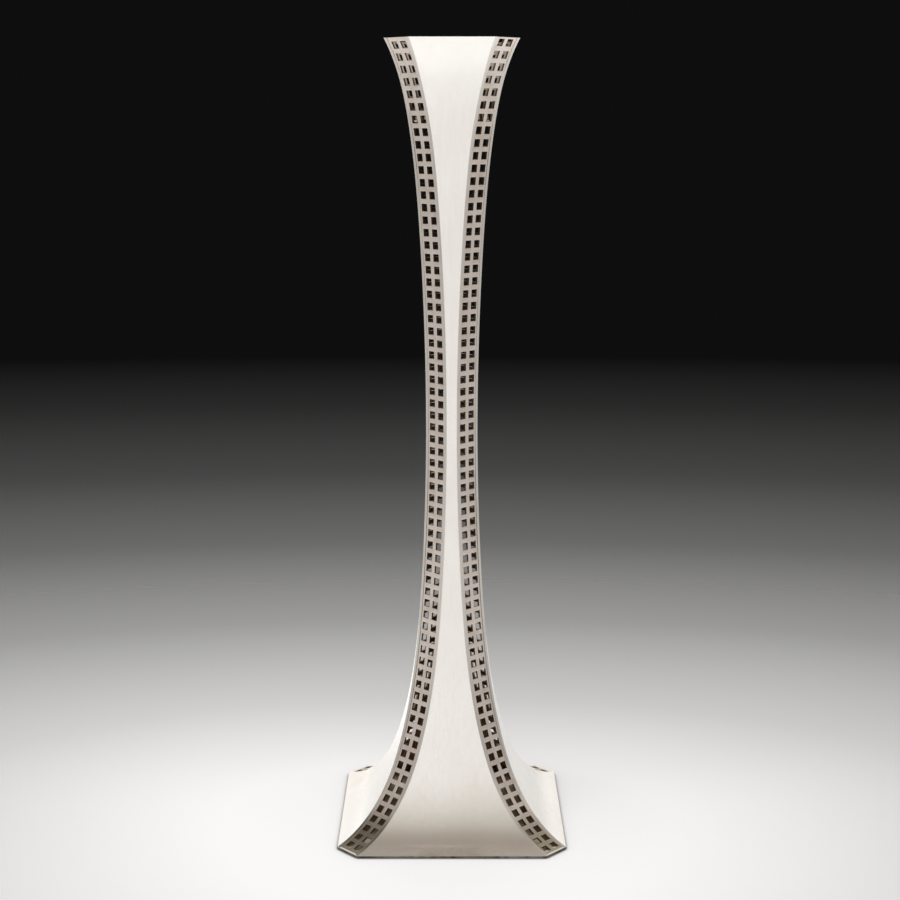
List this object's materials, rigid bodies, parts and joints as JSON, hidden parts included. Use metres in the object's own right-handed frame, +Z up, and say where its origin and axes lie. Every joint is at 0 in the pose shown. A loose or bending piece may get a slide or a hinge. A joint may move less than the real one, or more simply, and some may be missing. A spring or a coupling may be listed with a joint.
{
  "type": "candlestick",
  "caption": "Tall hollow candlestick with concave flaring panels, pierced corner strips with square holes, an open foot rim and a lift-out candle cup.",
  "frame": {"origin": "centre of the foot's underside", "axes": "+Z up along the axis, front panel facing -Y, right panel facing +X"},
  "size_m": [0.1038, 0.1038, 0.358],
  "materials": {
    "panel_silver": "softly polished sterling silver",
    "strip_silver": "satin sterling silver",
    "foot_silver": "softly polished sterling silver",
    "inner_silver": "polished sterling silver"
  },
  "bodies": {
    "stand": {"front_panel": "panel_silver", "right_panel": "panel_silver", "back_panel": "panel_silver", "left_panel": "panel_silver", "front_right_strip": "strip_silver", "back_right_strip": "strip_silver", "back_left_strip": "strip_silver", "front_left_strip": "strip_silver", "foot_rim": "foot_silver", "rest_tabs": "inner_silver"},
    "insert": {"drip_pan": "inner_silver", "candle_cup": "inner_silver", "cup_bead": "inner_silver", "cup_collar": "inner_silver"}
  },
  "joints": [
    {"name": "insert_lift", "type": "slide", "parent": "stand", "child": "insert", "axis": [0, 0, 1], "range_m": [0, 0.06]}
  ]
}
